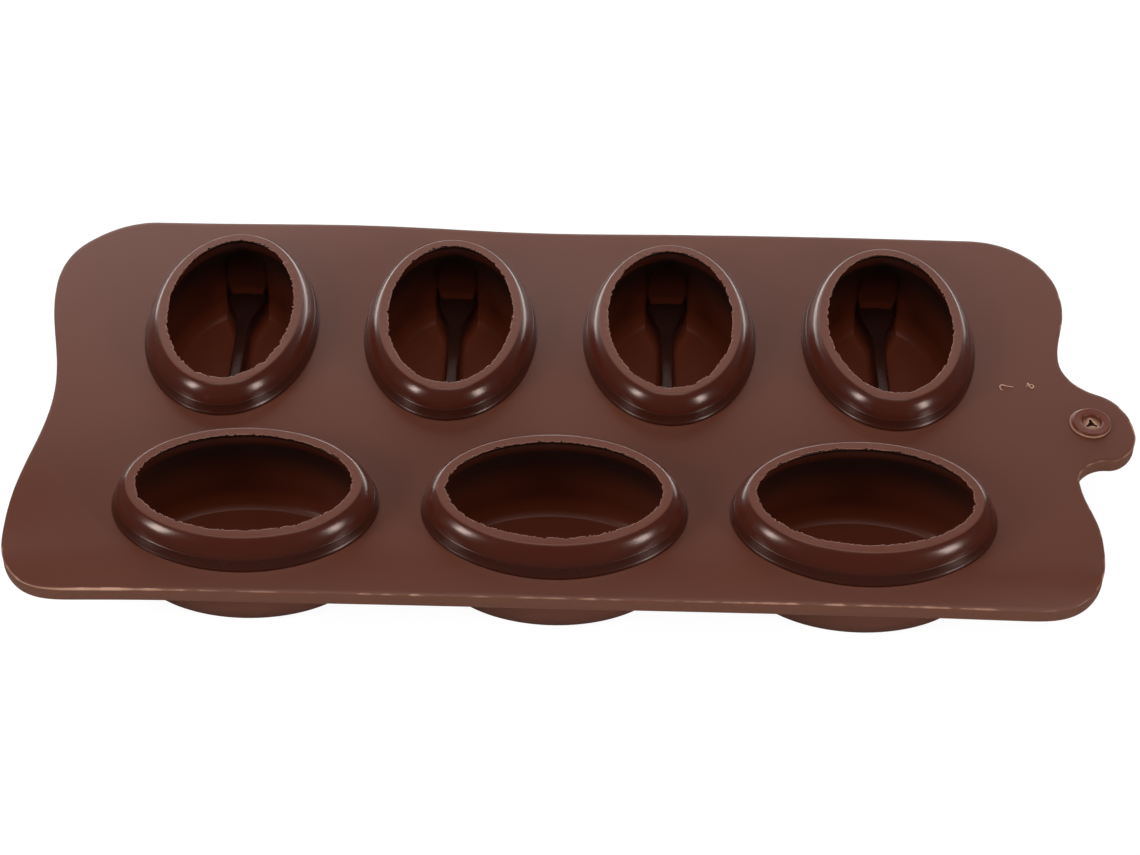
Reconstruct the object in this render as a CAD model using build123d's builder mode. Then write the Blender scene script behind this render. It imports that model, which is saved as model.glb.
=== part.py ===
"""Flexible mould for seven bean-shaped chocolates, with a tab to hang it by.

One thin sheet carries seven cups. Four stand in the back row with their long axis
front to back, three in the front row with their long axis left to right. Each cup has
a collar that stands proud of the sheet, a bowl that hangs below it and a ridge on the
bowl's floor that presses the crease into the bean. All lengths are in millimetres.
+X runs along the sheet to the hanging tab, +Y to the back row, +Z up.
The origin is on the surface that the bowls stand on, under the middle of the whole mould.
"""

import os

from build123d import *

# Sheet, seen from above
sheet_length = 208.8
sheet_depth = 103.6
sheet_thickness = 3.0
sheet_edge_radius = 0.45
corner_radius = 16.5
waist_inset = 4.2

# Hanging tab on the right-hand end
tab_reach = 9.9
tab_half_width = 9.3
tab_centre_y = -4.3
tab_shoulder_out = 3.7
tab_notch_inset = 3.0
tab_notch_gap = 7.5

# Cup mouths, half sizes, and how the cups are spread over the sheet
mouth_half_length = 20.5
mouth_half_width = 12.6
front_pitch = 59.0
back_pitch = 44.6
row_spacing = 49.0
row_middle_y = -5.5
front_cup_count = 3
back_cup_count = 4

# Collar, above the sheet: an upright foot, a tapered skirt, a ledge, then a wall that curves in to the rim.
# Each curve gives shares of a wall's height and of the way that it leans over that height.
collar_height = 5.8
collar_foot_height = 0.6
collar_foot_reach = 5.0
skirt_height = 2.3
skirt_taper = 0.85
ledge_width = 0.3
rim_width = 1.75
wall_curve = [(0.0, 0.0), (0.40, 0.14), (0.76, 0.50), (1.0, 1.0)]

# Bowl, below the sheet
bowl_depth = 17.4
wall = 1.7
floor_thickness = 1.8
cavity_swell = 2.8
cavity_floor_swell = 0.3
cavity_floor_curve = [(0.0, 0.0), (0.10, 0.45), (0.40, 0.82), (1.0, 1.0)]
cavity_neck_curve = [(0.45, 0.14), (0.80, 0.55), (1.0, 1.0)]
swell_height = 10.5
foot_reach = 0.9
bowl_curve = [(0.0, 0.0), (0.06, 0.35), (0.28, 0.74), (0.60, 0.95), (1.0, 1.0)]

# Ridge on the bowl's floor
ridge_height = 5.1
ridge_half_width = 2.2
ridge_flare_half_width = 5.8
ridge_straight_half_length = 11.5
ridge_top_radius = 1.1

# Eyelet in the hanging tab
eyelet_inset = 8.6
eyelet_offset_y = 1.0
eyelet_rise = 0.9
eyelet_base_rise = 0.4
eyelet_base_radius = 4.0
eyelet_flange_radius = 3.75
eyelet_sleeve_radius = 3.0
eyelet_hole_radius = 1.9
eyelet_bevel = 0.3

# Heights and places that follow from the sizes above
sheet_top_z = bowl_depth
sheet_under_z = sheet_top_z - sheet_thickness
rim_z = sheet_top_z + collar_height
middle_x = -tab_reach / 2
half_length = sheet_length / 2
half_depth = sheet_depth / 2
bowl_reach = cavity_swell + wall


def cup_plane(x, y, along):
    """A plane at a cup's centre, on the ground, with its x direction along the cup."""
    return Plane(origin=(middle_x + x, y, 0), x_dir=along, z_dir=(0, 0, 1))


def row_places(count, pitch):
    """The x places of a row of cups that is centred on the sheet."""
    return [(index - (count - 1) / 2) * pitch for index in range(count)]


def oval(plane, height, grow):
    """An oval of the mouth's half sizes plus grow, at a height above the ground."""
    with BuildSketch(plane.offset(height)) as sketch:
        Ellipse(mouth_half_length + grow, mouth_half_width + grow)
    return sketch.sketch


def cavity_levels():
    """Heights and growth of the cup's inside, from its floor to its mouth."""
    lower_height = swell_height - floor_thickness
    spread = cavity_swell - cavity_floor_swell
    neck_height = rim_z - swell_height
    lower = [
        (floor_thickness + up * lower_height, cavity_floor_swell + lean * spread)
        for up, lean in cavity_floor_curve
    ]
    neck = [
        (swell_height + up * neck_height, cavity_swell - lean * cavity_swell)
        for up, lean in cavity_neck_curve
    ]
    return lower + neck


def cavity(plane):
    """The space inside a cup, from its floor to the plane of its rim."""
    sections = [oval(plane, height, grow) for height, grow in cavity_levels()]
    return loft(sections, mode=Mode.PRIVATE)


def build_tray_sheet(planes):
    """The flat sheet with its waisted ends, its tab and a hole for each bowl."""
    side_y = half_depth - corner_radius
    side_x = half_length - corner_radius
    waist_x = half_length - waist_inset
    notch_x = half_length - tab_notch_inset
    shoulder_x = half_length + tab_shoulder_out
    tip_x = half_length + tab_reach
    tab_top_y = tab_centre_y + tab_half_width
    tab_low_y = tab_centre_y - tab_half_width
    down = (0, -1)
    with BuildPart() as sheet:
        with BuildSketch(Plane(origin=(middle_x, 0, sheet_under_z))):
            with BuildLine():
                Line((-side_x, half_depth), (side_x, half_depth))
                RadiusArc((side_x, half_depth), (half_length, side_y), corner_radius)
                Spline(
                    (half_length, side_y),
                    (notch_x, tab_top_y + tab_notch_gap),
                    (shoulder_x, tab_top_y),
                    (tip_x, tab_centre_y - tab_half_width / 4),
                    (shoulder_x, tab_low_y),
                    (notch_x, tab_low_y - tab_notch_gap),
                    (half_length, -side_y),
                    tangents=[down, down, (1, -0.4), down, (-1, 0), down, down],
                )
                RadiusArc((half_length, -side_y), (side_x, -half_depth), corner_radius)
                Line((side_x, -half_depth), (-side_x, -half_depth))
                RadiusArc((-side_x, -half_depth), (-half_length, -side_y), corner_radius)
                Spline(
                    (-half_length, -side_y),
                    (-waist_x, 0),
                    (-half_length, side_y),
                    tangents=[(0, 1), (0, 1)],
                )
                RadiusArc((-half_length, side_y), (-side_x, half_depth), corner_radius)
            make_face()
        extrude(amount=sheet_thickness)
        fillet(sheet.faces().sort_by(Axis.Z)[-1].edges(), sheet_edge_radius)
        fillet(sheet.faces().sort_by(Axis.Z)[0].edges(), sheet_edge_radius)
        for plane in planes:
            with BuildSketch(plane.offset(sheet_under_z)):
                Ellipse(mouth_half_length + bowl_reach, mouth_half_width + bowl_reach)
            extrude(amount=sheet_thickness, mode=Mode.SUBTRACT)
        with BuildSketch(eyelet_plane.offset(sheet_under_z)):
            Circle(eyelet_sleeve_radius)
        extrude(amount=sheet_thickness, mode=Mode.SUBTRACT)
    return sheet.part


def build_collar(plane):
    """The raised ring round a cup's mouth, with the cup's inside cut out of it."""
    foot_z = sheet_top_z + collar_foot_height
    ledge_z = sheet_top_z + skirt_height
    wall_height = collar_height - skirt_height
    wall_foot = collar_foot_reach - skirt_taper - ledge_width
    wall_lean = wall_foot - rim_width
    with BuildPart() as collar:
        with BuildSketch(plane.offset(sheet_top_z)):
            Ellipse(mouth_half_length + collar_foot_reach, mouth_half_width + collar_foot_reach)
        extrude(amount=collar_foot_height)
        loft([
            oval(plane, foot_z, collar_foot_reach),
            oval(plane, ledge_z, collar_foot_reach - skirt_taper),
        ])
        loft([
            oval(plane, ledge_z + up * wall_height, wall_foot - lean * wall_lean)
            for up, lean in wall_curve
        ])
        add(cavity(plane), mode=Mode.SUBTRACT)
    return collar.part


def build_bowl(plane):
    """The cup below the collar: a band through the sheet, curved walls and a flat foot."""
    outer_drop = bowl_reach - foot_reach
    with BuildPart() as bowl:
        with BuildSketch(plane.offset(sheet_under_z)):
            Ellipse(mouth_half_length + bowl_reach, mouth_half_width + bowl_reach)
        extrude(amount=sheet_thickness)
        loft([
            oval(plane, up * sheet_under_z, foot_reach + lean * outer_drop)
            for up, lean in bowl_curve
        ])
        add(cavity(plane), mode=Mode.SUBTRACT)
    return bowl.part


def build_crease_ridge(plane):
    """The ridge along a bowl's floor, flared where it runs into both end walls."""
    reach = mouth_half_length + cavity_swell
    with BuildPart() as ridge:
        with BuildSketch(plane.offset(floor_thickness)):
            with BuildLine():
                Spline(
                    (-reach, ridge_flare_half_width),
                    (-ridge_straight_half_length, ridge_half_width),
                    tangents=[(1, -0.7), (1, 0)],
                )
                Line(
                    (-ridge_straight_half_length, ridge_half_width),
                    (ridge_straight_half_length, ridge_half_width),
                )
                Spline(
                    (ridge_straight_half_length, ridge_half_width),
                    (reach, ridge_flare_half_width),
                    tangents=[(1, 0), (1, 0.7)],
                )
                mirror(about=Plane.XZ)
                Line((reach, ridge_flare_half_width), (reach, -ridge_flare_half_width))
                Line((-reach, ridge_flare_half_width), (-reach, -ridge_flare_half_width))
            make_face()
        extrude(amount=ridge_height)
        long_edges = ridge.faces().sort_by(Axis.Z)[-1].edges().sort_by(SortBy.LENGTH)[2:]
        fillet(long_edges, ridge_top_radius)
        add(cavity(plane), mode=Mode.INTERSECT)
    return ridge.part


def build_hang_eyelet():
    """The eyelet in the tab: a sleeve through the sheet with a stepped flange on top."""
    with BuildPart() as eyelet:
        with BuildSketch(eyelet_plane.offset(sheet_under_z)):
            Circle(eyelet_sleeve_radius)
        extrude(amount=sheet_thickness)
        with BuildSketch(eyelet_plane.offset(sheet_top_z)):
            Circle(eyelet_base_radius)
        extrude(amount=eyelet_base_rise)
        with BuildSketch(eyelet_plane.offset(sheet_top_z)):
            Circle(eyelet_flange_radius)
        extrude(amount=eyelet_rise)
        fillet(eyelet.faces().sort_by(Axis.Z)[-1].edges(), eyelet_rise / 4)
        with BuildSketch(eyelet_plane.offset(sheet_under_z)):
            Circle(eyelet_hole_radius)
        extrude(amount=sheet_thickness + eyelet_rise, mode=Mode.SUBTRACT)
        chamfer(eyelet.faces().sort_by(Axis.Z)[-1].edges().sort_by(SortBy.LENGTH)[0], eyelet_bevel)
    return eyelet.part


def write(part, name):
    """Label a finished piece and write it to its own file."""
    part.label = name
    export_step(part, f"parts/{name}.step")


eyelet_x = middle_x + half_length + tab_reach - eyelet_inset
eyelet_plane = Plane(origin=(eyelet_x, tab_centre_y + eyelet_offset_y, 0))
front_y = row_middle_y - row_spacing / 2
back_y = row_middle_y + row_spacing / 2
cups = {}
for index, x in enumerate(row_places(back_cup_count, back_pitch), start=1):
    cups[f"back_{index}"] = cup_plane(x, back_y, (0, 1, 0))
for index, x in enumerate(row_places(front_cup_count, front_pitch), start=1):
    cups[f"front_{index}"] = cup_plane(x, front_y, (1, 0, 0))

os.makedirs("parts", exist_ok=True)
write(build_tray_sheet(cups.values()), "tray_sheet")
write(build_hang_eyelet(), "hang_eyelet")
for cup_name, plane in cups.items():
    write(build_collar(plane), f"collar_{cup_name}")
    write(build_bowl(plane), f"bowl_{cup_name}")
    write(build_crease_ridge(plane), f"crease_ridge_{cup_name}")
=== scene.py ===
"""Dresses the frame of the bean mould: the skins of the sheet, cups and eyelet, their
silicone finishes, the small flash left by moulding, and the studio that shows them.
Lengths are in metres; MM turns the millimetre sizes of the mould into them.
"""
import logging
import math
from collections.abc import Callable, Iterable, Sequence
from dataclasses import dataclass
from enum import Enum

import bmesh
import bpy
from mathutils import Matrix, Vector, geometry, noise


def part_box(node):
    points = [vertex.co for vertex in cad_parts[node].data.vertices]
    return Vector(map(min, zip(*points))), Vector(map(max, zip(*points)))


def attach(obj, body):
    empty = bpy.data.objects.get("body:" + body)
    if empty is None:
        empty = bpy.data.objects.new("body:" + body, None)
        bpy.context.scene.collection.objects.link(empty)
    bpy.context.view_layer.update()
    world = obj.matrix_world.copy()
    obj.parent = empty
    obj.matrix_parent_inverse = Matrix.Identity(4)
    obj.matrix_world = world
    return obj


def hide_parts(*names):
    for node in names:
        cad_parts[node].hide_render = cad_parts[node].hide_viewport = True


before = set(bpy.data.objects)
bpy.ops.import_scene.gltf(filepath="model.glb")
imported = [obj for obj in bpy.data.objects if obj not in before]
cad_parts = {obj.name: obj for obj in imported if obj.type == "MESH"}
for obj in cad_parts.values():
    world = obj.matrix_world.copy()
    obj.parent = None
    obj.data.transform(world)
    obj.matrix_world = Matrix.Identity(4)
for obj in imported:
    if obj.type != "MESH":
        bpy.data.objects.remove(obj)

log = logging.getLogger("bean_mould")

MM = 0.001
BODY = "root"
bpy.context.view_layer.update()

Colour = tuple[float, float, float]
Point = tuple[float, float]


def srgb(red: int, green: int, blue: int) -> Colour:
    """Turn a colour written in 0 to 255 screen values into the linear values of a shader."""
    def linear(value: int) -> float:
        """Linear value of one channel."""
        part = value / 255
        return part / 12.92 if part <= 0.04045 else ((part + 0.055) / 1.055) ** 2.4
    return linear(red), linear(green), linear(blue)


def clamp(value: float, low: float = 0.0, high: float = 1.0) -> float:
    """Keep a value between low and high."""
    return max(low, min(high, value))


def smooth_step(low: float, high: float, value: float) -> float:
    """Rise smoothly from 0 at low to 1 at high."""
    part = clamp((value - low) / (high - low))
    return part * part * (3 - 2 * part)


def hump(centre: float, half_width: float, value: float) -> float:
    """A soft bump of height 1 round centre."""
    return math.exp(-((value - centre) / half_width) ** 2)


def grain(x: float, y: float, scale: float, seed: float) -> float:
    """Smooth noise from -1 to 1 whose lumps are about scale across."""
    return noise.noise(Vector((x / scale, y / scale, seed)))


def through(points: Sequence[Point], steps: int) -> list[Point]:
    """Run a smooth line through the points of a profile.

    Args:
        points: The profile's points, in order.
        steps: How many short spans replace each span between two points.

    Returns:
        The points of the smooth line, the first and last point among them.
    """
    line = []
    last = len(points) - 1
    for index in range(last):
        before = points[max(index - 1, 0)]
        start, end = points[index], points[index + 1]
        after = points[min(index + 2, last)]
        for step in range(steps):
            t = step / steps
            line.append(tuple(
                0.5 * (
                    2 * b + (c - a) * t + (2 * a - 5 * b + 4 * c - d) * t * t
                    + (3 * b - a - 3 * c + d) * t ** 3
                )
                for a, b, c, d in zip(before, start, end, after)
            ))
    line.append(tuple(points[last]))
    return line


def value_at(line: Sequence[Point], position: float) -> float:
    """Read the second coordinate of a line at a given first coordinate, by straight spans."""
    for (low, first), (high, second) in zip(line, line[1:]):
        if low <= position <= high:
            return first + (second - first) * (position - low) / max(high - low, 1e-9)
    return line[0][1] if position < line[0][0] else line[-1][1]


@dataclass(frozen=True)
class MouldSizes:
    """Sizes of the mould, in millimetres, read from the frame or fixed by its collar and walls.

    A reach is how far a ring lies outside the mouth: the collar's foot, the ring under the foot where the
    loose triangles of the sheet end, and the hidden rim of the sheet's hole.
    """

    sheet_top: float
    sheet_under: float
    rim: float
    middle_x: float
    mouth_half_length: float
    mouth_half_width: float
    skirt_reach: float = 5.0
    seat_reach: float = 4.8
    band_reach: float = 4.5
    floor: float = 1.8

    @classmethod
    def from_frame(cls) -> "MouldSizes":
        """Measure the frame's sheet and its front middle collar."""
        sheet_low, sheet_high = (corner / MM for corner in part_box("tray_sheet"))
        collar_low, collar_high = (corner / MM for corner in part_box("collar_front_2"))
        half = (collar_high - collar_low) / 2
        return cls(
            sheet_top=sheet_high.z,
            sheet_under=sheet_low.z,
            rim=collar_high.z,
            middle_x=(collar_high.x + collar_low.x) / 2,
            mouth_half_length=half.x - cls.skirt_reach,
            mouth_half_width=half.y - cls.skirt_reach,
        )


SIZES = MouldSizes.from_frame()


def warp(x: float, y: float) -> float:
    """How far the flexible sheet has lifted or sagged from flat at a place, in millimetres.

    The back edge waves, the front edge droops and the front left corner dips.
    """
    across = x - SIZES.middle_x
    back = smooth_step(10, 50, y)
    wave = 0.60 * hump(-44, 24, across) - 0.55 * hump(-4, 22, across) + 0.25 * hump(60, 30, across)
    droop = clamp((-43 - y) / 9) ** 1.5 * (1.0 + 0.5 * smooth_step(60, 98, across))
    dip = 0.75 * hump(-98, 17, across) * hump(-46, 17, y) + 0.55 * hump(-105, 10, across) * hump(-37, 11, y)
    return back * wave - droop - dip


def settle(x: float, y: float, z: float) -> Vector:
    """Place a point of the mould, with the sheet's warp added to all that is above the feet."""
    lift = warp(x, y) * smooth_step(0, SIZES.sheet_under, z)
    return Vector((x, y, z + lift)) * MM


class Socket:
    """A shader output that can be used in Python sums; numbers and colours may join in."""

    def __init__(self, kit: "NodeKit", socket: bpy.types.NodeSocket | None) -> None:
        self.kit = kit
        self.socket = socket

    def _math(self, operation: str, *values: object) -> "Socket":
        """Add a Math node for an operation on this value and others."""
        return self.kit.node("ShaderNodeMath", {"operation": operation}, dict(enumerate(values)))

    def __add__(self, other: object) -> "Socket":
        """Sum."""
        return self._math("ADD", self, other)

    __radd__ = __add__

    def __sub__(self, other: object) -> "Socket":
        """Difference."""
        return self._math("SUBTRACT", self, other)

    def __rsub__(self, other: object) -> "Socket":
        """Difference, the other way round."""
        return self._math("SUBTRACT", other, self)

    def __mul__(self, other: object) -> "Socket":
        """Product."""
        return self._math("MULTIPLY", self, other)

    __rmul__ = __mul__

    def clamped(self) -> "Socket":
        """This value, kept from 0 to 1."""
        return self._math("MINIMUM", self._math("MAXIMUM", self, 0.0), 1.0)

    def between(self, low: float, high: float) -> "Socket":
        """Rise smoothly from 0 at low to 1 at high."""
        return self.kit.node(
            "ShaderNodeMapRange", {"interpolation_type": "SMOOTHSTEP"},
            {"Value": self, "From Min": low, "From Max": high},
        )


class NodeKit:
    """Adds nodes to one node tree and links them."""

    def __init__(self, tree: bpy.types.NodeTree) -> None:
        """Start from an empty tree."""
        self.tree = tree
        tree.nodes.clear()

    def node(self, kind: str, settings: dict | None = None, values: dict | None = None,
             output: str | int = 0) -> Socket:
        """Add a node.

        Args:
            kind: The node's type.
            settings: Its settings, such as an operation, set first.
            values: Numbers, colours or sockets for its inputs, by name or number.
            output: The output that is wanted, by name or number.

        Returns:
            The wanted output.
        """
        made = self.tree.nodes.new(kind)
        for name, value in (settings or {}).items():
            setattr(made, name, value)
        for name, value in (values or {}).items():
            target = made.inputs[name]
            if isinstance(value, Socket):
                self.tree.links.new(value.socket, target)
            elif isinstance(value, tuple) and len(value) == 3 and target.type == "RGBA":
                target.default_value = (*value, 1.0)
            else:
                target.default_value = value
        return Socket(self, made.outputs[output] if made.outputs else None)

    def mix(self, factor: object, first: object, second: object) -> Socket:
        """Blend two colours."""
        return self.node(
            "ShaderNodeMix", {"data_type": "RGBA"},
            {0: factor, 6: first, 7: second}, output=2,
        )

    def place(self) -> Socket:
        """The place on the object, in its own metres."""
        return self.node("ShaderNodeTexCoord", output="Object")

    def attribute(self, name: str) -> Socket:
        """A number kept at each corner of a mesh."""
        return self.node("ShaderNodeAttribute", {"attribute_name": name}, output="Fac")

    def speckle(self, scale: float, detail: float = 3.0, roughness: float = 0.5) -> Socket:
        """Cloudy noise over the object; scale is in lumps per metre."""
        return self.node(
            "ShaderNodeTexNoise", {"noise_dimensions": "3D"},
            {"Vector": self.place(), "Scale": scale, "Detail": detail, "Roughness": roughness},
        )

    def streaks(self, scale: float) -> Socket:
        """Soft bands that run along Y; scale is in bands per metre along X."""
        across = self.node("ShaderNodeSeparateXYZ", {}, {0: self.place()}, output="X")
        return self.node(
            "ShaderNodeTexNoise", {"noise_dimensions": "1D"},
            {"W": across, "Scale": scale, "Detail": 2.0},
        )

    def bump(self, height: Socket, strength: float, distance: float) -> Socket:
        """A normal that follows a height; distance is in metres."""
        return self.node(
            "ShaderNodeBump", {},
            {"Height": height, "Strength": strength, "Distance": distance}, output="Normal",
        )


class Mark(Enum):
    """Numbers that each vertex of a skin carries for its material."""

    # Pale edges: lighter torn and trimmed flash, and in part a painted highlight along the sheet's crisp
    # edges.
    PALE = "pale_edge"
    MATTE = "matte_face"
    # Painted glow, standing in for light coming through thin silicone.
    GLOW = "painted_glow"
    # Painted shade inside the cups and on the collar's skirt.
    PAINTED_SHADE = "deep_place"


WHITE = (1.0, 1.0, 1.0)
# Colour that the painted shade darkens towards.
SHADE_BROWN = srgb(23, 12, 9)
# Warm tint of every reflection, standing in for warm lamp light; the lamps are white.
WARM_SHEEN = (1.0, 0.80, 0.72)
SILICONE_INDEX = 1.41


@dataclass(frozen=True)
class Silicone:
    """The finish of one kind of silicone surface."""

    name: str
    body: Colour
    matte_body: Colour
    pale: Colour
    # Colour of the painted glow of light through thin silicone.
    glow: Colour
    gloss_roughness: float
    matte_roughness: float
    specular: float
    # How strongly that painted glow is emitted.
    shine_through: float
    cloud: float
    grain_height: float

    def make(self) -> bpy.types.Material:
        """Build the material: a clouded body colour with painted bands of shade and sheen, matte faces, pale
        edges that are in part a painted highlight, painted shade and a painted glow through thin walls.
        """
        material = bpy.data.materials.new(self.name)
        material.use_nodes = True
        kit = NodeKit(material.node_tree)
        matte = kit.attribute(Mark.MATTE.value)
        pale = kit.attribute(Mark.PALE.value)
        glow = kit.attribute(Mark.GLOW.value)
        deep = kit.attribute(Mark.PAINTED_SHADE.value)
        clouds = kit.speckle(28.0, 4.0, 0.55)
        patches = kit.speckle(9.0, 2.0, 0.5)
        dust = kit.speckle(2600.0, 2.0, 0.6)
        # The streaks are soft bands along Y, painted bands of shade and sheen like those across the sheet;
        # the clouds and patches are the silicone's own uneven tone.
        streaks = kit.streaks(55.0)
        mottling_and_shade_bands = sum((layer - 0.5) * self.cloud for layer in (clouds, patches, streaks))
        tone = kit.mix(matte, self.body, self.matte_body)
        darker, lighter = self._shade(kit, tone, 0.80), self._shade(kit, tone, 1.22)
        lit = kit.mix((0.5 + mottling_and_shade_bands).clamped(), darker, lighter)
        # Painted shade: the colour goes towards a shade brown where the shade mark is.
        shaded = kit.mix(deep * 0.95, lit, SHADE_BROWN)
        # Painted glow: a warmer, lighter colour where light would come through thin silicone.
        thin = kit.mix((glow * (0.20 + clouds * 0.3)).clamped(), shaded, self.glow)
        # Pale edges: the lighter torn and trimmed flash, partly a painted highlight along the sheet's crisp
        # edges.
        flash_and_edge_highlight = kit.mix((pale * (0.55 + dust * 0.9)).clamped(), thin, self.pale)
        spread = matte * (self.matte_roughness - self.gloss_roughness) + glow * 0.20 + deep * 0.14
        roughness = self.gloss_roughness + spread + (clouds - 0.5) * 0.08
        height = dust * (0.25 + 0.75 * matte)
        shader = kit.node("ShaderNodeBsdfPrincipled", {}, {
            "Base Color": flash_and_edge_highlight,
            "Roughness": roughness.clamped(),
            "IOR": SILICONE_INDEX,
            "Specular IOR Level": self.specular,
            "Specular Tint": (*WARM_SHEEN, 1.0),
            # The emission is the painted glow of light through thin silicone.
            "Emission Color": kit.mix((glow * self.shine_through).clamped(), (0.0, 0.0, 0.0), self.glow),
            "Emission Strength": 1.0,
            "Normal": kit.bump(height, 0.35, self.grain_height * MM),
        })
        kit.node("ShaderNodeOutputMaterial", {}, {"Surface": shader})
        return material

    @staticmethod
    def _shade(kit: NodeKit, colour: Socket, factor: float) -> Socket:
        """A colour made darker or lighter by a factor."""
        return kit.node(
            "ShaderNodeVectorMath", {"operation": "SCALE"}, {0: colour, "Scale": factor}, output="Vector")


SHEET_FINISH = Silicone(
    name="matte_silicone", body=srgb(88, 46, 33), matte_body=srgb(88, 46, 33), pale=srgb(184, 140, 118),
    glow=srgb(110, 60, 40), gloss_roughness=0.30, matte_roughness=0.32, specular=0.50, shine_through=0.0,
    cloud=0.16, grain_height=0.02)
CUP_FINISH = Silicone(
    name="gloss_silicone", body=srgb(66, 27, 18), matte_body=srgb(92, 49, 36), pale=srgb(150, 104, 88),
    glow=srgb(88, 37, 19), gloss_roughness=0.22, matte_roughness=0.38, specular=0.50, shine_through=0.28,
    cloud=0.20, grain_height=0.008)
EYELET_FINISH = Silicone(
    name="satin_silicone", body=srgb(92, 44, 32), matte_body=srgb(94, 45, 33), pale=srgb(190, 148, 124),
    glow=srgb(130, 88, 70), gloss_roughness=0.30, matte_roughness=0.42, specular=0.40, shine_through=0.02,
    cloud=0.20, grain_height=0.015)


class SkinMesh:
    """Collects the vertices, faces and marks of one skin and turns them into an object."""

    def __init__(self) -> None:
        """Start with nothing."""
        self.points: list[Vector] = []
        self.faces: list[tuple[int, ...]] = []
        self.marks: dict[Mark, list[float]] = {mark: [] for mark in Mark}

    def add(self, point: Vector, pale: float = 0.0, matte: float = 0.0, glow: float = 0.0,
            deep: float = 0.0) -> int:
        """Add a vertex with its marks and return its number."""
        self.points.append(point)
        for mark, value in zip(Mark, (pale, matte, glow, deep)):
            self.marks[mark].append(clamp(value))
        return len(self.points) - 1

    def bridge(self, lower: Sequence[int], upper: Sequence[int]) -> None:
        """Join two closed rows of equally many vertices with four-sided faces."""
        count = len(lower)
        for index in range(count):
            after = (index + 1) % count
            self.faces.append((lower[index], lower[after], upper[after], upper[index]))

    def fan(self, row: Sequence[int], centre: int, flip: bool = False) -> None:
        """Close a row with triangles to a centre vertex."""
        count = len(row)
        for index in range(count):
            pair = (row[index], row[(index + 1) % count])
            self.faces.append((*(reversed(pair) if flip else pair), centre))

    def build(self, name: str, finish: bpy.types.Material, replaces: Iterable[str],
              slot: str) -> bpy.types.Object:
        """Make the object, put it on the frame's body and let it stand for frame nodes.

        Args:
            name: The piece's name.
            finish: Its material.
            replaces: The frame nodes that it stands for.
            slot: Not used.

        Returns:
            The finished piece.
        """
        mesh = bpy.data.meshes.new(name)
        mesh.from_pydata([tuple(point) for point in self.points], [], self.faces)
        mesh.validate()
        for mark, values in self.marks.items():
            layer = mesh.attributes.new(mark.value, "FLOAT", "POINT")
            layer.data.foreach_set("value", values)
        self._face_outward(mesh)
        mesh.polygons.foreach_set("use_smooth", [True] * len(mesh.polygons))
        mesh.materials.append(finish)
        piece = bpy.data.objects.new(name, mesh)
        bpy.context.scene.collection.objects.link(piece)
        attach(piece, BODY)
        nodes = list(replaces)
        if nodes:
            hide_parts(*nodes)
        log.info("%s: %d faces", name, len(self.faces))
        return piece

    @staticmethod
    def _face_outward(mesh: bpy.types.Mesh) -> None:
        """Turn all faces of a closed mesh outward."""
        work = bmesh.new()
        work.from_mesh(mesh)
        bmesh.ops.recalc_face_normals(work, faces=work.faces)
        work.to_mesh(mesh)
        work.free()


@dataclass(frozen=True)
class Station:
    """A point of the sheet's outline and the way the outline runs there."""

    x: float
    y: float
    run: Point


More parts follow.
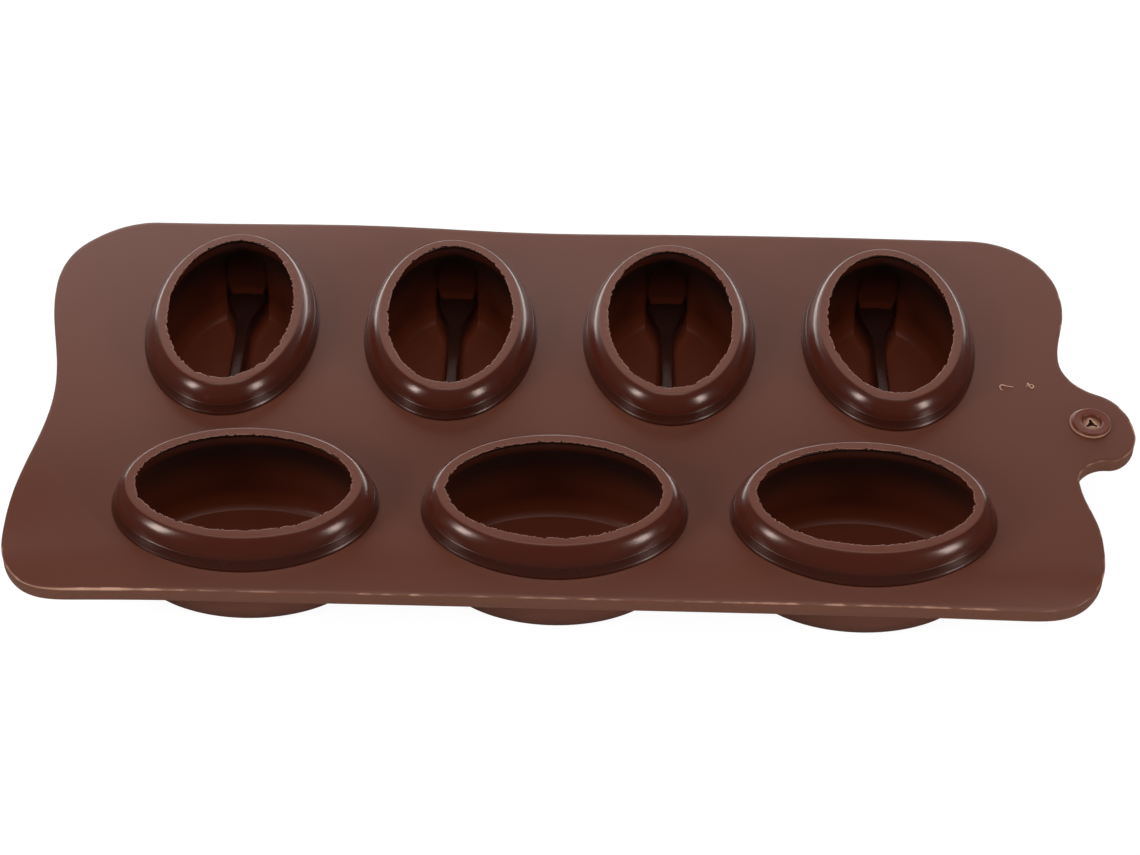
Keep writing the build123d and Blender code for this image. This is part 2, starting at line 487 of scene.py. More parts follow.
@dataclass
class TraySheet:
    """The flat sheet, its rolled and trimmed edge, and a hole for each bowl and the eyelet."""

    cups: Sequence["Cup"]
    eyelet: "HangEyelet"
    finish: bpy.types.Material
    mesh_pitch: float = 2.6
    steps: int = 26
    curve_pull: float = 1.08
    longest_span: float = 0.9
    stations: Sequence[Station] = (
        Station(-86.0, 51.6, (1, 0)),
        Station(0.0, 51.6, (1, 0)),
        Station(86.0, 51.5, (1, 0)),
        Station(98.6, 46.2, (1, -1)),
        Station(103.8, 31.5, (0, -1)),
        Station(101.2, 14.8, (0, -1)),
        Station(108.0, 5.2, (1, -0.42)),
        Station(114.1, -5.8, (0, -1)),
        Station(107.9, -13.4, (-1, 0.06)),
        Station(101.5, -19.0, (0, -1)),
        Station(104.1, -34.5, (0, -1)),
        Station(100.3, -48.5, (-1, -1)),
        Station(88.5, -51.8, (-1, 0)),
        Station(0.0, -51.8, (-1, 0)),
        Station(-90.0, -51.9, (-1, 0)),
        Station(-100.4, -48.9, (-1, 1)),
        Station(-104.3, -34.5, (0, 1)),
        Station(-100.2, -2.0, (0, 1)),
        Station(-104.7, 31.5, (0, 1)),
        Station(-99.7, 45.2, (1, 1)),
    )

    def outline(self) -> list[Vector]:
        """The sheet's outline as closely spaced points, clockwise from above."""
        line = []
        count = len(self.stations)
        for index, start in enumerate(self.stations):
            end = self.stations[(index + 1) % count]
            first, last = Vector((start.x, start.y)), Vector((end.x, end.y))
            chord = (last - first).length
            leave = Vector(start.run).normalized() * chord * self.curve_pull
            arrive = Vector(end.run).normalized() * chord * self.curve_pull
            steps = max(self.steps, round(chord / self.longest_span))
            for step in range(steps):
                t = step / steps
                point = (
                    first * (2 * t ** 3 - 3 * t * t + 1) + leave * (t ** 3 - 2 * t * t + t)
                    + last * (3 * t * t - 2 * t ** 3) + arrive * (t ** 3 - t * t)
                )
                line.append(point + Vector((SIZES.middle_x, 0)))
        return line

    @staticmethod
    def inward(line: Sequence[Vector]) -> list[Vector]:
        """The direction into the sheet at each point of its outline."""
        count = len(line)
        directions = []
        for index in range(count):
            run = (line[(index + 1) % count] - line[index - 1]).normalized()
            directions.append(Vector((run.y, -run.x)))
        return directions

    def trim(self, point: Vector) -> float:
        """How much the trimmed flash shows at a point of the top edge, from 0 to 1."""
        across = point.x - SIZES.middle_x
        front = max(smooth_step(-30, -50, point.y), smooth_step(97, 101, across))
        thick = hump(-86, 11, across) * front
        broken = smooth_step(-0.12, 0.10, grain(point.x, point.y, 3.4, 5.7))
        slow = 0.30 + 0.30 * grain(point.x, point.y, 20.0, 3.1) + 0.35 * grain(point.x, point.y, 1.6, 8.3)
        return clamp((slow * broken + 0.10) * (0.30 + 0.70 * front) + 0.75 * thick, 0.03, 1.0)

    def build(self) -> bpy.types.Object:
        """Make the sheet's skin."""
        skin = SkinMesh()
        line = self.outline()
        inward = self.inward(line)
        top, under = SIZES.sheet_top, SIZES.sheet_under
        trims = [self.trim(point) for point in line]

        def edge_row(place: Callable[[float], Point], pale: Callable[[float], float],
                     matte: float) -> list[int]:
            """Add a row round the edge, whose inset, height and paleness follow the trim."""
            numbers = []
            for point, into, trim in zip(line, inward, trims):
                inset, height = place(trim)
                spot = point + into * inset
                numbers.append(skin.add(settle(spot.x, spot.y, height), pale=pale(trim), matte=matte))
            return numbers

        # The pale mark along the edge is the lighter trimmed flash on the top edge, and partly a painted
        # highlight along the crisp top and bottom edges.
        rows = [
            edge_row(place, pale, matte)
            for place, pale, matte in (
                (lambda w: (0.90, top), lambda w: 0.0, 1.0),
                (lambda w: (0.11 + 0.42 * w, top), lambda w: 0.0, 1.0),
                (lambda w: (0.08 + 0.38 * w, top - 0.01), lambda w: w, 1.0),
                (lambda w: (0.03, top - 0.05 - 0.12 * w), lambda w: w, 1.0),
                (lambda w: (0.0, top - 0.09 - 0.15 * w), lambda w: 0.12, 0.9),
                (lambda w: (0.05, (top + under) / 2), lambda w: 0.14, 0.8),
                (lambda w: (0.01, under + 0.26), lambda w: 0.14, 0.8),
                (lambda w: (0.03, under + 0.18), lambda w: 0.55, 0.8),
                (lambda w: (0.12, under + 0.05), lambda w: 0.50, 0.9),
                (lambda w: (0.35, under), lambda w: 0.05, 1.0),
            )
        ]
        for upper, lower in zip(rows, rows[1:]):
            skin.bridge(lower, upper)
        holes = [
            (cup.footprint(SIZES.seat_reach), cup.ring(SIZES.seat_reach), cup.ring(SIZES.band_reach))
            for cup in self.cups
        ]
        holes.append(self.eyelet.holes())
        top_rings = self._sheet_face(skin, rows[0], holes, top, upward=True)
        under_rings = self._sheet_face(skin, rows[-1], holes, under, upward=False)
        for upper_ring, lower_ring in zip(top_rings, under_rings):
            skin.bridge(upper_ring, lower_ring)
        return skin.build("tray_skin", self.finish, ["tray_sheet"], "matte_silicone")

    def _sheet_face(self, skin: SkinMesh, border: Sequence[int], holes: Sequence[tuple], height: float,
                    upward: bool) -> list[list[int]]:
        """Fill the top or the underside between the border and the holes with small triangles.

        Args:
            skin: The mesh that gets the face.
            border: The vertices of the border.
            holes: For each hole, its inside test, its outer ring of points and its inner ring.
            height: The face's height.
            upward: True for the top.

        Returns:
            The vertex numbers of each hole's inner ring.
        """
        flat = [Vector((skin.points[number].x, skin.points[number].y)) / MM for number in border]
        numbers = list(border)
        edges = [(index, (index + 1) % len(flat)) for index in range(len(flat))]
        rings = []
        for _, outer, inner in holes:
            first = len(flat)
            flat.extend(outer)
            edges.extend((first + index, first + (index + 1) % len(outer)) for index in range(len(outer)))
            made = [skin.add(settle(spot.x, spot.y, height), matte=1.0) for spot in outer]
            numbers.extend(made)
            rings.append([skin.add(settle(spot.x, spot.y, height), matte=1.0) for spot in inner])
            skin.bridge(made, rings[-1])
        for spot in self._inner_points(flat[:len(border)], holes):
            flat.append(spot)
            numbers.append(skin.add(settle(spot.x, spot.y, height), matte=1.0))
        _, _, faces, origins, _, _ = geometry.delaunay_2d_cdt(flat, edges, [], 1, 1e-7)
        for face in faces:
            corners = [origins[corner][0] for corner in face]
            middle = sum((flat[corner] for corner in corners), Vector((0, 0))) / len(corners)
            if any(inside(middle.x, middle.y) for inside, _, _ in holes):
                continue
            picked = [numbers[corner] for corner in corners]
            skin.faces.append(tuple(picked if upward else reversed(picked)))
        return rings

    def _inner_points(self, border: Sequence[Vector], holes: Sequence[tuple]) -> list[Vector]:
        """Points of a loose grid inside the sheet, clear of its border and its holes."""
        spots = []
        low_x, high_x = min(p.x for p in border), max(p.x for p in border)
        low_y, high_y = min(p.y for p in border), max(p.y for p in border)
        gap = 0.6 * self.mesh_pitch
        for row in range(round((high_y - low_y) / self.mesh_pitch)):
            shift = 0.5 * self.mesh_pitch * (row % 2)
            y = low_y + (row + 0.5) * self.mesh_pitch
            crossings = self._crossings(border, y)
            for column in range(round((high_x - low_x) / self.mesh_pitch)):
                x = low_x + shift + (column + 0.5) * self.mesh_pitch
                inside = any(left + gap < x < right - gap for left, right in crossings)
                if inside and not any(test(x, y, gap) for test, _, _ in holes):
                    if all((Vector((x, y)) - p).length > gap for p in border[::3]):
                        spots.append(Vector((x, y)))
        return spots

    @staticmethod
    def _crossings(border: Sequence[Vector], y: float) -> list[tuple[float, float]]:
        """The spans of x that lie inside a border at a given y."""
        cuts = []
        for first, second in zip(border, list(border[1:]) + [border[0]]):
            if (first.y - y) * (second.y - y) < 0:
                cuts.append(first.x + (second.x - first.x) * (y - first.y) / (second.y - first.y))
        cuts.sort()
        return list(zip(cuts[::2], cuts[1::2]))


@dataclass
class Cup:
    """One bean cup: a glossy collar with a torn lip, and a bowl with its crease ridge."""

    name: str
    finish: bpy.types.Material
    collar_segments: int = 960
    bowl_segments: int = 340
    wall_rows: int = 40
    floor_rows: int = 46
    lining_drop: float = 0.42
    swell: float = 2.8
    swell_height: float = 10.5
    floor_swell: float = 0.3
    ridge_height: float = 5.1
    ridge_half_width: float = 1.95
    ridge_flare_half_width: float = 4.7
    ridge_straight: float = 11.6
    ridge_end: float = 22.3
    rim_width: float = 1.55
    rim_shares: Sequence[float] = (0.30, 0.62, 0.86, 0.96)
    lip_thickness: float = 0.22
    hidden_back: Sequence[Point] = ((1.10, 4.4), (1.90, 3.2), (2.60, 1.6), (3.10, 0.0))
    foot_grow: float = 0.9
    bowl_profile: Sequence[Point] = ((1.0, 1.0), (0.60, 0.95), (0.28, 0.74), (0.06, 0.35), (0.0, 0.0))
    collar_profile: Sequence[Point] = (
        (5.04, 0.00), (5.02, 0.30), (4.97, 0.50), (4.88, 0.62), (4.70, 0.98), (4.53, 1.45), (4.39, 1.95),
        (4.32, 2.22), (4.27, 2.30), (4.21, 2.35), (4.18, 2.45), (4.04, 2.90), (3.77, 3.55), (3.42, 4.18),
        (3.00, 4.78), (2.54, 5.25), (2.12, 5.59), (1.86, 5.74), (1.72, 5.80), (1.55, 5.81),
    )

    def __post_init__(self) -> None:
        """Find the cup's centre and its direction from the frame."""
        low, high = (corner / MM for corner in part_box(f"bowl_{self.name}"))
        self.centre = (low + high) / 2
        self.along_x = (high.x - low.x) > (high.y - low.y)
        self.seed = self.centre.x * 0.37 + self.centre.y * 0.11
        floor, rim = SIZES.floor, SIZES.rim
        corner, neck = self.swell_height - floor, rim - self.swell_height
        drop = self.swell - self.floor_swell
        self.inner = through([
            (floor, self.floor_swell),
            (floor + 0.10 * corner, self.floor_swell + 0.45 * drop),
            (floor + 0.40 * corner, self.floor_swell + 0.82 * drop),
            (self.swell_height, self.swell),
            (self.swell_height + 0.45 * neck, 0.86 * self.swell),
            (self.swell_height + 0.80 * neck, 0.45 * self.swell),
            (rim, 0.0),
        ], 8)

    def flat_place(self, angle: float, grow: float, share: float = 1.0) -> Vector:
        """A place on the oval that is grow larger than the mouth, seen from above."""
        along = (SIZES.mouth_half_length + grow) * math.cos(angle) * share
        across = (SIZES.mouth_half_width + grow) * math.sin(angle) * share
        if self.along_x:
            return Vector((self.centre.x + along, self.centre.y + across))
        return Vector((self.centre.x - across, self.centre.y + along))

    def footprint(self, grow: float) -> Callable[..., bool]:
        """A test for places inside an oval that is grow larger than the mouth."""
        def inside(x: float, y: float, margin: float = 0.0) -> bool:
            """Say whether a place is inside the oval or within a margin of it."""
            dx, dy = x - self.centre.x, y - self.centre.y
            along, across = (dx, dy) if self.along_x else (dy, dx)
            half_length = SIZES.mouth_half_length + grow + margin
            half_width = SIZES.mouth_half_width + grow + margin
            return (along / half_length) ** 2 + (across / half_width) ** 2 < 1
        return inside

    def ring(self, grow: float) -> list[Vector]:
        """A ring of points on the oval that is grow larger than the mouth."""
        count = 120
        return [self.flat_place(2 * math.pi * index / count, grow) for index in range(count)]

    def tear(self, angle: float) -> float:
        """How far the torn lip reaches past the mouth at an angle, in millimetres."""
        spot = self.flat_place(angle, 0.0)
        slow = grain(spot.x, spot.y, 6.0, self.seed)
        nick = smooth_step(0.20, 0.30, grain(spot.x, spot.y, 2.2, self.seed + 4))
        teeth = abs(grain(spot.x, spot.y, 0.60, self.seed + 9))
        fray = abs(grain(spot.x, spot.y, 0.27, self.seed + 13))
        return -0.20 + 0.10 * slow + 0.22 * nick + 0.55 * teeth + 0.50 * fray

    def row(self, skin: SkinMesh, grow: Callable[[float], float], height: Callable[[float], float],
            segments: int, **marks: float) -> list[int]:
        """Add a row round the cup, from its growth and height at each angle."""
        numbers = []
        for index in range(segments):
            angle = 2 * math.pi * index / segments
            spot = self.flat_place(angle, grow(angle))
            numbers.append(skin.add(settle(spot.x, spot.y, height(angle)), **marks))
        return numbers

    def build_collar(self) -> bpy.types.Object:
        """Make the collar: foot, skirt, curved wall, flat rim, torn lip and a hidden back."""
        skin = SkinMesh()
        top, count = SIZES.sheet_top, self.collar_segments
        rows = []
        for grow, rise in through(self.collar_profile, 2):
            matte = smooth_step(5.66, 5.80, rise)
            # Painted shade on the skirt below the crease.
            skirt = 0.40 * smooth_step(2.6, 2.2, rise)
            rows.append(self.row(
                skin, lambda a: grow, lambda a: top + rise, count, matte=matte, deep=skirt))
        rim = SIZES.rim
        for share in self.rim_shares:
            rows.append(self.row(
                skin, lambda a: self.rim_width + (self.tear(a) - self.rim_width) * share,
                lambda a: rim + 0.01 + 0.05 * share * grain(30 * a, 0, 1.4, self.seed), count,
                matte=1.0, pale=0.55 * smooth_step(0.86, 1.0, share)))
        rows.append(self.row(skin, self.tear, lambda a: rim - 0.03, count, matte=0.7, pale=0.9))
        rows.append(self.row(skin, lambda a: self.tear(a) + 0.05, lambda a: rim - self.lip_thickness, count,
                             matte=0.2, pale=0.05))
        rows.append(self.row(skin, lambda a: 0.75, lambda a: rim - 0.75, count))
        for grow, rise in self.hidden_back:
            rows.append(self.row(skin, lambda a: grow, lambda a: top + rise, count))
        for outer, inner in zip(rows, rows[1:] + rows[:1]):
            skin.bridge(outer, inner)
        nodes = [f"collar_{self.name}"]
        return skin.build(f"collar_skin_{self.name}", self.finish, nodes, "gloss_silicone")

    def half_width(self, along: float) -> float:
        """Half the crease ridge's width at a place along it."""
        out = smooth_step(self.ridge_straight, self.ridge_end, abs(along))
        return self.ridge_half_width + (self.ridge_flare_half_width - self.ridge_half_width) * out

    def ridge(self, along: float, across: float) -> float:
        """How high the crease ridge stands above the floor at a place in the cup."""
        edge = self.half_width(along)
        crown = 1.0 - 0.05 * min(abs(across) / edge, 1.0) ** 2
        ending = 1 - smooth_step(self.ridge_end - 0.1, self.ridge_end + 0.4, abs(along))
        slope = 1 - smooth_step(edge - 0.80, edge + 0.12, abs(across))
        return self.ridge_height * crown * ending * slope

    def shade_amount(self, along: float, across: float, height: float, backward: float) -> float:
        """How much painted shade a place of the lining gets, from 0 to 1: on the crease ridge, most at its
        flare, and high on the wall, most at the back.
        """
        on_ridge = smooth_step(0.6, 3.0, self.ridge(along, across)) * smooth_step(9.0, 7.5, height)
        flare = smooth_step(3, 12, abs(along))
        wall = smooth_step(6, 16, height) * (0.40 + 0.60 * smooth_step(0.2, 0.9, backward))
        return clamp(on_ridge * (0.40 + 0.35 * flare) + wall)

    def glow_amount(self, along: float, across: float, height: float) -> float:
        """How much painted glow a place gets, standing in for light through the wall or the floor, from 0 to
        1.
        """
        wall = 0.34 * smooth_step(18.0, 8.0, height) + 0.38 * smooth_step(6.5, 3.0, height)
        side = abs(across) / self.half_width(along)
        near_flare = smooth_step(self.ridge_straight - 4, self.ridge_end - 5, abs(along))
        # Painted glow along the sides of the ridge's flare.
        halo = 0.20 * near_flare * hump(1.25, 0.40, side) * smooth_step(12, 7, height)
        past_end = smooth_step(self.ridge_end, self.ridge_end + 0.4, abs(along))
        # Painted light line along the far edge of the ridge's flare.
        edge = 0.26 * (past_end * smooth_step(8.6, 7.2, height)) * smooth_step(1.15, 0.9, side)
        on_ridge = smooth_step(0.6, 3.0, self.ridge(along, across))
        return clamp((wall + halo + edge) * (1 - on_ridge))

    def build_bowl(self) -> bpy.types.Object:
        """Make the bowl: lining, floor with its ridge, outside wall and flat foot."""
        skin = SkinMesh()
        lip = self._lining(skin)
        self._outside(skin, lip)
        nodes = [f"bowl_{self.name}", f"crease_ridge_{self.name}"]
        return skin.build(f"bowl_skin_{self.name}", self.finish, nodes, "gloss_silicone")

    def _lining(self, skin: SkinMesh) -> list[int]:
        """Add the lining from the lip to the middle of the floor and return its top row."""
        top, floor = SIZES.rim - self.lining_drop, SIZES.floor
        levels = [top - (top - floor) * (step / self.wall_rows) ** 0.9 for step in range(self.wall_rows + 1)]
        crisp = 0.03
        levels.insert(-1, floor + crisp)
        rows = [self._lining_row(skin, value_at(self.inner, height), 1.0, height) for height in levels]
        floor_grow = value_at(self.inner, floor)
        rows.append(self._lining_row(skin, floor_grow, 0.998, floor))
        for step in range(1, self.floor_rows):
            rows.append(self._lining_row(skin, floor_grow, 1 - step / self.floor_rows, floor))
        for upper, lower in zip(rows, rows[1:]):
            skin.bridge(upper, lower)
        centre = skin.add(settle(self.centre.x, self.centre.y, floor + self.ridge(0, 0)))
        skin.fan(rows[-1], centre)
        return rows[0]

    def _outside(self, skin: SkinMesh, lip: Sequence[int]) -> None:
        """Add the bowl's outside, from the top row of its lining down to the flat foot."""
        rim, top, under, count = SIZES.rim, SIZES.sheet_top, SIZES.sheet_under, self.bowl_segments
        rows = [self.row(skin, lambda a: 0.60, lambda a: rim - 0.45, count)]
        for grow, height in ((0.9, rim - 1.8), (1.6, rim - 4.0), (2.75, top), (SIZES.band_reach, top - 0.4)):
            rows.append(self.row(skin, lambda a: grow, lambda a: height, count))
        for share, part in through(self.bowl_profile, 7):
            grow = self.foot_grow + part * (SIZES.band_reach - self.foot_grow)
            rows.append(self.row(
                skin, lambda a: grow, lambda a: max(0.0, share * under), count, matte=0.9, pale=0.20))
        for share in (0.8, 0.5, 0.2):
            spots = [
                self.flat_place(2 * math.pi * index / count, self.foot_grow, share) for index in range(count)
            ]
            rows.append([skin.add(settle(spot.x, spot.y, 0.0), matte=0.5) for spot in spots])
        skin.bridge(rows[0], lip)
        for upper, lower in zip(rows, rows[1:]):
            skin.bridge(lower, upper)
        bottom = skin.add(settle(self.centre.x, self.centre.y, 0.0), matte=0.5)
        skin.fan(rows[-1], bottom, flip=True)

    def _lining_row(self, skin: SkinMesh, grow: float, share: float, height: float) -> list[int]:
        """Add a row of the lining, raised where the crease ridge runs under it."""
        numbers = []
        for index in range(self.bowl_segments):
            angle = 2 * math.pi * index / self.bowl_segments
            along = (SIZES.mouth_half_length + grow) * math.cos(angle) * share
            across = (SIZES.mouth_half_width + grow) * math.sin(angle) * share
            raised = max(height, SIZES.floor + self.ridge(along, across))
            spot = self.flat_place(angle, grow, share)
            backward = (spot.y - self.centre.y) / SIZES.mouth_half_width
            numbers.append(skin.add(
                settle(spot.x, spot.y, raised), glow=self.glow_amount(along, across, height),
                deep=self.shade_amount(along, across, height, backward)))
        return numbers


@dataclass
class HangEyelet:
    """The eyelet in the tab: a two-step flange, a bevelled hole and the torn film across it."""

    finish: bpy.types.Material
    segments: int = 160
    seat_radius: float = 3.4
    sleeve_radius: float = 3.0
    flange_rise: float = 0.9
    base_inner: float = 3.75
    base_rise: float = 0.42
    base_shift: float = 0.22
    film_segments: int = 96
    film_radius: float = 1.94
    film_thickness: float = 0.12
    film_drop: float = 0.85
    tear_radius: float = 0.58
    tear_corner_radius: float = 1.32
    tear_corner_spread: float = 0.60
    tear_corner_degrees: Sequence[float] = (95, 215, 330)
    profile: Sequence[Point] = (
        (3.05, -3.0), (3.05, 0.0), (3.98, 0.0), (4.06, 0.10), (4.06, 0.30), (3.98, 0.40), (3.78, 0.42),
        (3.72, 0.50), (3.72, 0.76), (3.62, 0.90), (3.42, 0.94), (3.30, 0.90), (3.10, 0.90), (2.30, 0.92),
        (2.12, 0.86), (1.98, 0.66), (1.90, 0.30), (1.90, -3.0),
    )

    def __post_init__(self) -> None:
        """Find the eyelet's place from the frame."""
        low, high = (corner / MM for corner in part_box("hang_eyelet"))
        self.centre = (low + high) / 2

    def footprint(self, x: float, y: float, margin: float = 0.0) -> bool:
        """Say whether a place is over the eyelet's seat, or within a margin of it."""
        return math.hypot(x - self.centre.x, y - self.centre.y) < self.seat_radius + margin

    def around(self, radius: float, angle: float, shift: float = 0.0) -> Vector:
        """A place round the eyelet's axis, shifted a little to the back left."""
        return Vector((
            self.centre.x - shift + radius * math.cos(angle),
            self.centre.y + 0.3 * shift + radius * math.sin(angle),
        ))

    def holes(self) -> tuple:
        """The hole that the sleeve leaves in the sheet: its inside test and its two rings."""
        count = 64
        outer, inner = [
            [self.around(radius, 2 * math.pi * index / count) for index in range(count)]
            for radius in (self.seat_radius, self.sleeve_radius)
        ]
        return self.footprint, outer, inner

    def build(self) -> bpy.types.Object:
        """Make the eyelet."""
        skin = SkinMesh()
        rows = []
        for radius, rise in self.profile:
            in_base = radius > self.base_inner and rise <= self.base_rise
            shift = self.base_shift if in_base else 0.0
            pale = 0.55 if radius > 3.9 and 0.05 < rise < self.base_rise else 0.0
            matte = 1.0 if rise > 0.85 else 0.3
            row = []
            for index in range(self.segments):
                spot = self.around(radius, 2 * math.pi * index / self.segments, shift)
                height = max(SIZES.sheet_top + rise, SIZES.sheet_under)
                row.append(skin.add(settle(spot.x, spot.y, height), pale=pale, matte=matte))
            rows.append(row)
        for outer, inner in zip(rows, rows[1:] + rows[:1]):
            skin.bridge(outer, inner)
        return skin.build("eyelet_skin", self.finish, ["hang_eyelet"], "satin_silicone")

    def build_film(self) -> bpy.types.Object:
        """Make the thin film of flash in the hole, with its three-cornered tear."""
        skin = SkinMesh()
        height = SIZES.sheet_top + self.flange_rise - self.film_drop
        sides = []
        for level in (height, height - self.film_thickness):
            outer, middle, inner = [], [], []
            for index in range(self.film_segments):
                angle = 2 * math.pi * index / self.film_segments
                tear = self._tear(angle)
                for row, radius, rise, pale in (
                    (outer, self.film_radius, 0.10, 0.25),
                    (middle, (self.film_radius + tear) / 2, 0.0, 0.45),
                    (inner, tear, 0.10, 1.0),
                ):
                    spot = self.around(radius, angle)
                    lift = rise + 0.08 * grain(spot.x, spot.y, 0.5, 2.0)
                    point = settle(spot.x, spot.y, level + lift)
                    # The film gets painted glow, as of light through it.
                    row.append(skin.add(point, pale=pale, matte=0.6, glow=0.8))
            sides.append((outer, middle, inner))
        (outer, middle, inner), (low_outer, low_middle, low_inner) = sides
        skin.bridge(outer, middle)
        skin.bridge(middle, inner)
        skin.bridge(low_middle, low_outer)
        skin.bridge(low_inner, low_middle)
        skin.bridge(low_outer, outer)
        skin.bridge(inner, low_inner)
        return skin.build("eyelet_film", self.finish, [], "satin_silicone")

    def _tear(self, angle: float) -> float:
        """The radius of the three-cornered tear at an angle."""
        reach = self.tear_radius
        for corner in map(math.radians, self.tear_corner_degrees):
            turn = math.atan2(math.sin(angle - corner), math.cos(angle - corner))
            spread = math.exp(-(turn / self.tear_corner_spread) ** 2)
            reach = max(reach, self.tear_corner_radius * spread)
        return reach + 0.05 * grain(20 * math.cos(angle), 20 * math.sin(angle), 2.0, 8.0)


@dataclass
class Burr:
    """A short curl of flash that stands on the sheet."""

    name: str
    path: Sequence[Point]
    finish: bpy.types.Material
    thickness: float = 0.13
    sides: int = 8

    def build(self) -> bpy.types.Object:
        """Make the burr as a thin rounded thread along its path."""
        skin = SkinMesh()
        line = through(self.path, 5)
        rows = []
        for index, (x, y) in enumerate(line):
            before, after = line[max(index - 1, 0)], line[min(index + 1, len(line) - 1)]
            run = Vector((after[0] - before[0], after[1] - before[1])).normalized()
            part = index / (len(line) - 1)
            thick = self.thickness * (0.35 + 0.65 * math.sin(math.pi * clamp(part, 0.06, 0.94)))
            row = []
            for side in range(self.sides):
                turn = 2 * math.pi * side / self.sides
                out = math.cos(turn) * thick
                spot = Vector((SIZES.middle_x + x - run.y * out, y + run.x * out))
                height = SIZES.sheet_top + 0.05 + math.sin(turn) * thick
                row.append(skin.add(settle(spot.x, spot.y, height), pale=1.0, matte=0.6))
            rows.append(row)
        for first, second in zip(rows, rows[1:]):
            skin.bridge(second, first)
        skin.faces.append(tuple(rows[0]))
        skin.faces.append(tuple(reversed(rows[-1])))
        return skin.build(self.name, self.finish, [], "matte_silicone")


HOOK = ((89.1, 5.8), (88.7, 6.2), (88.6, 7.0), (89.1, 7.4), (90.0, 7.1), (91.3, 6.9))
LOOP = ((94.0, 7.0), (94.3, 8.1), (94.5, 7.4), (94.9, 6.7), (95.4, 7.1), (95.0, 7.7), (94.2, 7.3))


@dataclass(frozen=True)
class Lamp:
    """A soft rectangular lamp that lights the scene but isn't seen by the camera."""

    name: str
    place: tuple[float, float, float]
    aim: tuple[float, float, float]
    size: Point
    watts: float

    def build(self) -> None:
        """Add the lamp, turned from its place towards its aim."""
        data = bpy.data.lights.new(self.name, "AREA")
        data.shape = "RECTANGLE"
        data.size, data.size_y = self.size
        data.energy = self.watts
        lamp = bpy.data.objects.new(self.name, data)
        place = Vector(self.place)
        facing = (place - Vector(self.aim)).to_track_quat("Z", "Y").to_matrix().to_4x4()
        lamp.matrix_world = Matrix.Translation(place) @ facing
        lamp.visible_camera = False
        bpy.context.scene.collection.objects.link(lamp)


CENTRE = (0, 0, 0.02)
LAMPS = (
    Lamp("left_box", (-0.79, -0.42, 0.46), CENTRE, (0.20, 0.36), 5.2),
    Lamp("right_box", (0.80, -0.52, 0.34), CENTRE, (0.20, 0.36), 4.5),
    Lamp("overhead", (0.0, -0.05, 1.1), CENTRE, (0.9, 0.7), 5.3),
    Lamp("back_wall", (-0.05, 0.36, 0.19), (-0.05, 0.0, 0.19), (0.80, 0.34), 0.85),
    Lamp("back_left", (-0.27, 0.36, 0.19), (-0.27, 0.0, 0.19), (0.36, 0.34), 0.70),
    Lamp("rim_strip", (0.0, 0.35, 0.06), (0.0, 0.0, 0.06), (0.90, 0.07), 1.2),
)


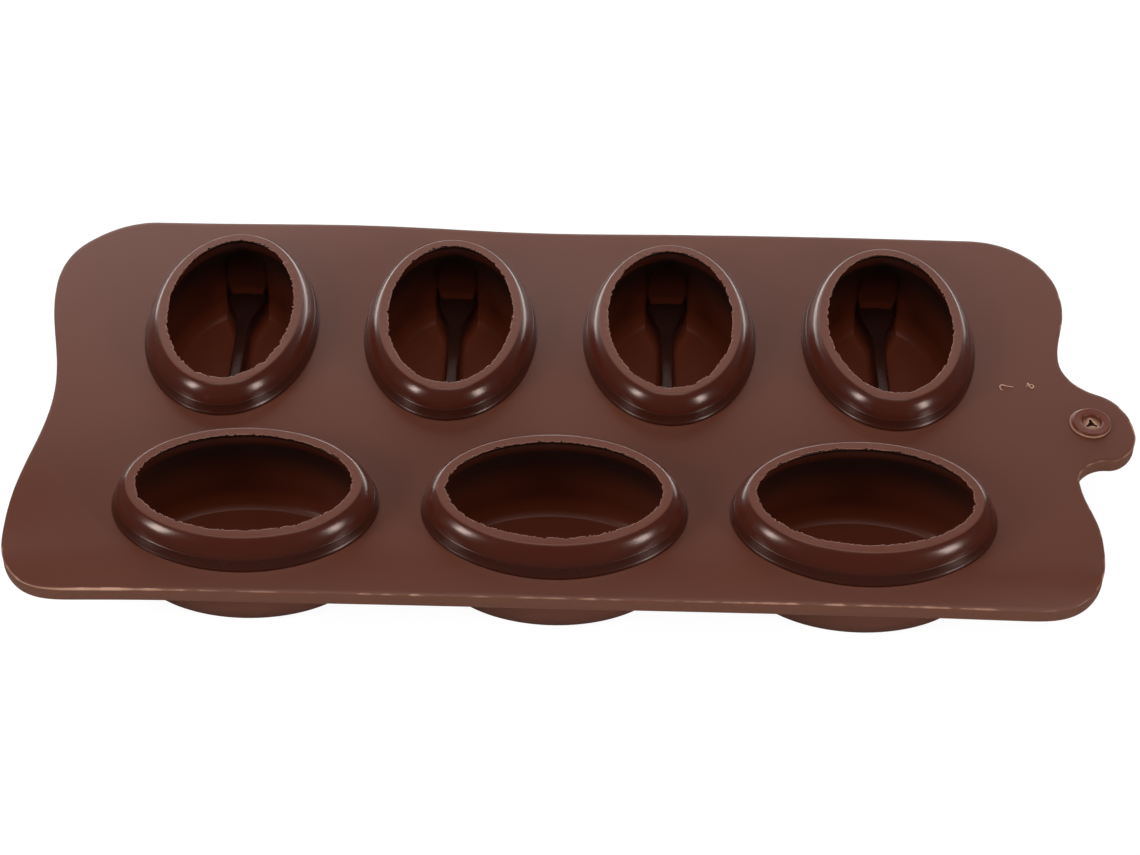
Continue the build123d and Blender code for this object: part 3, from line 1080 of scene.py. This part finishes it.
@dataclass
class Studio:
    """The camera, a white floor, a pale surround and the lamps round the mould."""

    focal_px: float = 2632.5
    photo_width_px: float = 1140.0
    sensor_mm: float = 36.0
    azimuth: float = 0.30
    elevation: float = 44.73
    roll: float = 1.13
    distance: float = 510.3
    target_x: float = 2.58
    target_y: float = -13.44
    floor_half: float = 3.0
    floor_drop: float = 0.0002
    paper_white: float = 0.80
    mirrored_white: float = 0.12
    seen_white: float = 1.14
    seen_share: float = 0.82
    soft_light: float = 0.10
    back_light: float = 0.08

    def add_camera(self) -> None:
        """Put the camera at the photograph's viewing angle."""
        azimuth, elevation = math.radians(self.azimuth), math.radians(self.elevation)
        back = Vector((
            math.sin(azimuth) * math.cos(elevation),
            -math.cos(azimuth) * math.cos(elevation),
            math.sin(elevation),
        ))
        right = (-back).cross(Vector((0, 0, 1))).normalized()
        up = right.cross(-back)
        lean = math.radians(self.roll)
        across = math.cos(lean) * right + math.sin(lean) * up
        upward = math.cos(lean) * up - math.sin(lean) * right
        data = bpy.data.cameras.new("camera")
        data.sensor_width = self.sensor_mm
        data.lens = self.focal_px / self.photo_width_px * self.sensor_mm
        data.clip_start = 0.01
        camera = bpy.data.objects.new("camera", data)
        target = Vector((SIZES.middle_x + self.target_x, self.target_y, SIZES.rim))
        turn = Matrix((across, upward, back)).transposed().to_4x4()
        camera.matrix_world = Matrix.Translation((target + back * self.distance) * MM) @ turn
        bpy.context.scene.collection.objects.link(camera)
        bpy.context.scene.camera = camera

    def add_floor(self) -> None:
        """Add the floor: white paper with a faint shadow to the eye, and dim in glossy reflections."""
        material = bpy.data.materials.new("paper_floor")
        material.use_nodes = True
        kit = NodeKit(material.node_tree)
        camera = kit.node("ShaderNodeLightPath", output="Is Camera Ray")
        glossy = kit.node("ShaderNodeLightPath", output="Is Glossy Ray")
        paper = kit.node("ShaderNodeBsdfDiffuse", {}, {"Color": (self.paper_white,) * 3})
        dim_paper = kit.node("ShaderNodeBsdfDiffuse", {}, {"Color": (self.mirrored_white,) * 3})
        white = kit.node("ShaderNodeEmission", {}, {"Color": WHITE, "Strength": self.seen_white})
        lit = kit.node("ShaderNodeMixShader", {}, {0: glossy, 1: paper, 2: dim_paper})
        surface = kit.node("ShaderNodeMixShader", {}, {0: camera * self.seen_share, 1: lit, 2: white})
        kit.node("ShaderNodeOutputMaterial", {}, {"Surface": surface})
        half = self.floor_half
        mesh = bpy.data.meshes.new("floor")
        corners = [(-half, -half, 0), (half, -half, 0), (half, half, 0), (-half, half, 0)]
        mesh.from_pydata(corners, [], [(0, 1, 2, 3)])
        mesh.materials.append(material)
        floor = bpy.data.objects.new("floor", mesh)
        floor.location.z = -self.floor_drop
        bpy.context.scene.collection.objects.link(floor)

    def add_world(self) -> None:
        """Add the surround: white to the eye, and soft light that is strongest from behind."""
        world = bpy.data.worlds.new("surround")
        bpy.context.scene.world = world
        world.use_nodes = True
        kit = NodeKit(world.node_tree)
        direction = kit.node("ShaderNodeTexCoord", output="Generated")
        backward = kit.node("ShaderNodeSeparateXYZ", {}, {0: direction}, output="Y")
        back = backward.between(0.0, 0.55)
        camera = kit.node("ShaderNodeLightPath", output="Is Camera Ray")
        strength = camera + (1 - camera) * (self.soft_light + back * self.back_light)
        light = kit.node("ShaderNodeBackground", {}, {"Color": WHITE, "Strength": strength})
        kit.node("ShaderNodeOutputWorld", {}, {"Surface": light})

    def build(self) -> None:
        """Set up the whole studio."""
        bpy.context.scene.view_settings.view_transform = "Standard"
        self.add_camera()
        self.add_floor()
        self.add_world()
        for lamp in LAMPS:
            lamp.build()


def main() -> None:
    """Build the mould's pieces and the studio, and note the size of the result."""
    logging.basicConfig(level=logging.INFO, format="%(name)s %(message)s")
    sheet_finish = SHEET_FINISH.make()
    cup_finish = CUP_FINISH.make()
    eyelet_finish = EYELET_FINISH.make()
    names = [node[len("bowl_"):] for node in sorted(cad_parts) if node.startswith("bowl_")]
    cups = [Cup(name, cup_finish) for name in names]
    eyelet = HangEyelet(eyelet_finish)
    TraySheet(cups, eyelet, sheet_finish).build()
    for cup in cups:
        cup.build_collar()
        cup.build_bowl()
    eyelet.build()
    eyelet.build_film()
    Burr("burr_left", HOOK, eyelet_finish).build()
    Burr("burr_right", LOOP, eyelet_finish).build()
    Studio().build()
    bpy.context.view_layer.update()


if __name__ == "__main__":
    main()
